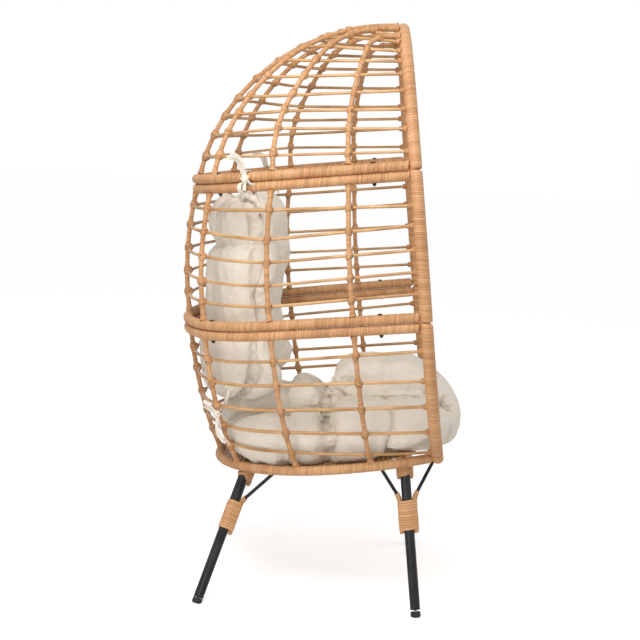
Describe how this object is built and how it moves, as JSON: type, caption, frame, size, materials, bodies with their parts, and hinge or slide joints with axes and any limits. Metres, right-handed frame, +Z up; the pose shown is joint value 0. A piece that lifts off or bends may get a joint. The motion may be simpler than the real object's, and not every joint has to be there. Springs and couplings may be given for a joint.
{
  "type": "egg chair",
  "caption": "Free-standing egg chair: open woven shell in three bolted sections on braced splayed legs with levelling feet, with tufted seat and back cushions.",
  "frame": {"origin": "on the floor, under the middle of the chair's bounding box", "axes": "+Z up; the chair faces -Y; +X is the sitter's left"},
  "size_m": [0.8768, 0.7388, 1.4624],
  "materials": {
    "wicker": "matte",
    "cane_wicker": "matte",
    "black_steel": "satin",
    "black_bolts": "satin",
    "black_plastic": "matte",
    "plated_steel": "satin",
    "cushion_fabric": "matte"
  },
  "bodies": {
    "chair": {"base_ring": "wicker", "base_crossbars": "wicker", "seat_deck": "cane_wicker", "lower_post_left": "wicker", "lower_post_right": "wicker", "lower_top_ring": "wicker", "lower_rib_rear": "wicker", "lower_ribs_left": "wicker", "lower_ribs_right": "wicker", "lower_canes_low": "cane_wicker", "lower_canes_high": "cane_wicker", "middle_bottom_ring": "wicker", "middle_top_ring": "wicker", "middle_post_left": "wicker", "middle_post_right": "wicker", "middle_rib_rear": "wicker", "middle_ribs_left": "wicker", "middle_ribs_right": "wicker", "middle_canes_low": "cane_wicker", "middle_canes_high": "cane_wicker", "canopy_bottom_ring": "wicker", "canopy_rim": "wicker", "canopy_rib_rear": "wicker", "canopy_ribs_left": "wicker", "canopy_ribs_right": "wicker", "canopy_canes_low": "cane_wicker", "canopy_canes_high": "cane_wicker", "lower_seam_bolts": "black_bolts", "upper_seam_bolts": "black_bolts", "leg_front_left": "black_steel", "leg_front_right": "black_steel", "leg_rear_left": "black_steel", "leg_rear_right": "black_steel", "socket_front_left": "wicker", "socket_front_right": "wicker", "socket_rear_left": "wicker", "socket_rear_right": "wicker", "braces_front_left": "black_steel", "braces_front_right": "black_steel", "braces_rear_left": "black_steel", "braces_rear_right": "black_steel", "binding_front_left": "wicker", "binding_front_right": "wicker", "binding_rear_left": "wicker", "binding_rear_right": "wicker", "insert_front_left": "black_plastic", "insert_front_right": "black_plastic", "insert_rear_left": "black_plastic", "insert_rear_right": "black_plastic", "seat_cushion": "cushion_fabric", "back_cushion": "cushion_fabric", "back_cushion_ties": "cushion_fabric"},
    "foot_front_left": {"pad_front_left": "black_plastic"},
    "screw_front_left": {"stem_front_left": "plated_steel"},
    "foot_front_right": {"pad_front_right": "black_plastic"},
    "screw_front_right": {"stem_front_right": "plated_steel"},
    "foot_rear_left": {"pad_rear_left": "black_plastic"},
    "screw_rear_left": {"stem_rear_left": "plated_steel"},
    "foot_rear_right": {"pad_rear_right": "black_plastic"},
    "screw_rear_right": {"stem_rear_right": "plated_steel"}
  },
  "joints": [
    {"name": "height_front_left", "type": "slide", "parent": "chair", "child": "foot_front_left", "axis": [0.1567, -0.1306, -0.979], "range_m": [-0.005, 0.01]},
    {"name": "turn_front_left", "type": "hinge", "parent": "foot_front_left", "child": "screw_front_left", "pos_m": [0.32, -0.28057, 0.006], "axis": [0.1567, -0.1306, -0.979], "range_deg": [-2880, 5040]},
    {"name": "height_front_right", "type": "slide", "parent": "chair", "child": "foot_front_right", "axis": [-0.1567, -0.1306, -0.979], "range_m": [-0.005, 0.01]},
    {"name": "turn_front_right", "type": "hinge", "parent": "foot_front_right", "child": "screw_front_right", "pos_m": [-0.32, -0.28057, 0.006], "axis": [-0.1567, -0.1306, -0.979], "range_deg": [-2880, 5040]},
    {"name": "height_rear_left", "type": "slide", "parent": "chair", "child": "foot_rear_left", "axis": [0.3657, 0.2739, -0.8895], "range_m": [-0.00075, 0.0125]},
    {"name": "turn_rear_left", "type": "hinge", "parent": "foot_rear_left", "child": "screw_rear_left", "pos_m": [0.32, 0.26252, 0.006], "axis": [0.3657, 0.2739, -0.8895], "range_deg": [-1044, 6120]},
    {"name": "height_rear_right", "type": "slide", "parent": "chair", "child": "foot_rear_right", "axis": [-0.3657, 0.2739, -0.8895], "range_m": [-0.00075, 0.0125]},
    {"name": "turn_rear_right", "type": "hinge", "parent": "foot_rear_right", "child": "screw_rear_right", "pos_m": [-0.32, 0.26252, 0.006], "axis": [-0.3657, 0.2739, -0.8895], "range_deg": [-1044, 6120]}
  ],
  "couplings": [
    {"joint": "turn_front_left", "follows": "height_front_left", "rad_per_m": 5026.5},
    {"joint": "turn_front_right", "follows": "height_front_right", "rad_per_m": 5026.5},
    {"joint": "turn_rear_left", "follows": "height_rear_left", "rad_per_m": 5026.5},
    {"joint": "turn_rear_right", "follows": "height_rear_right", "rad_per_m": 5026.5}
  ]
}
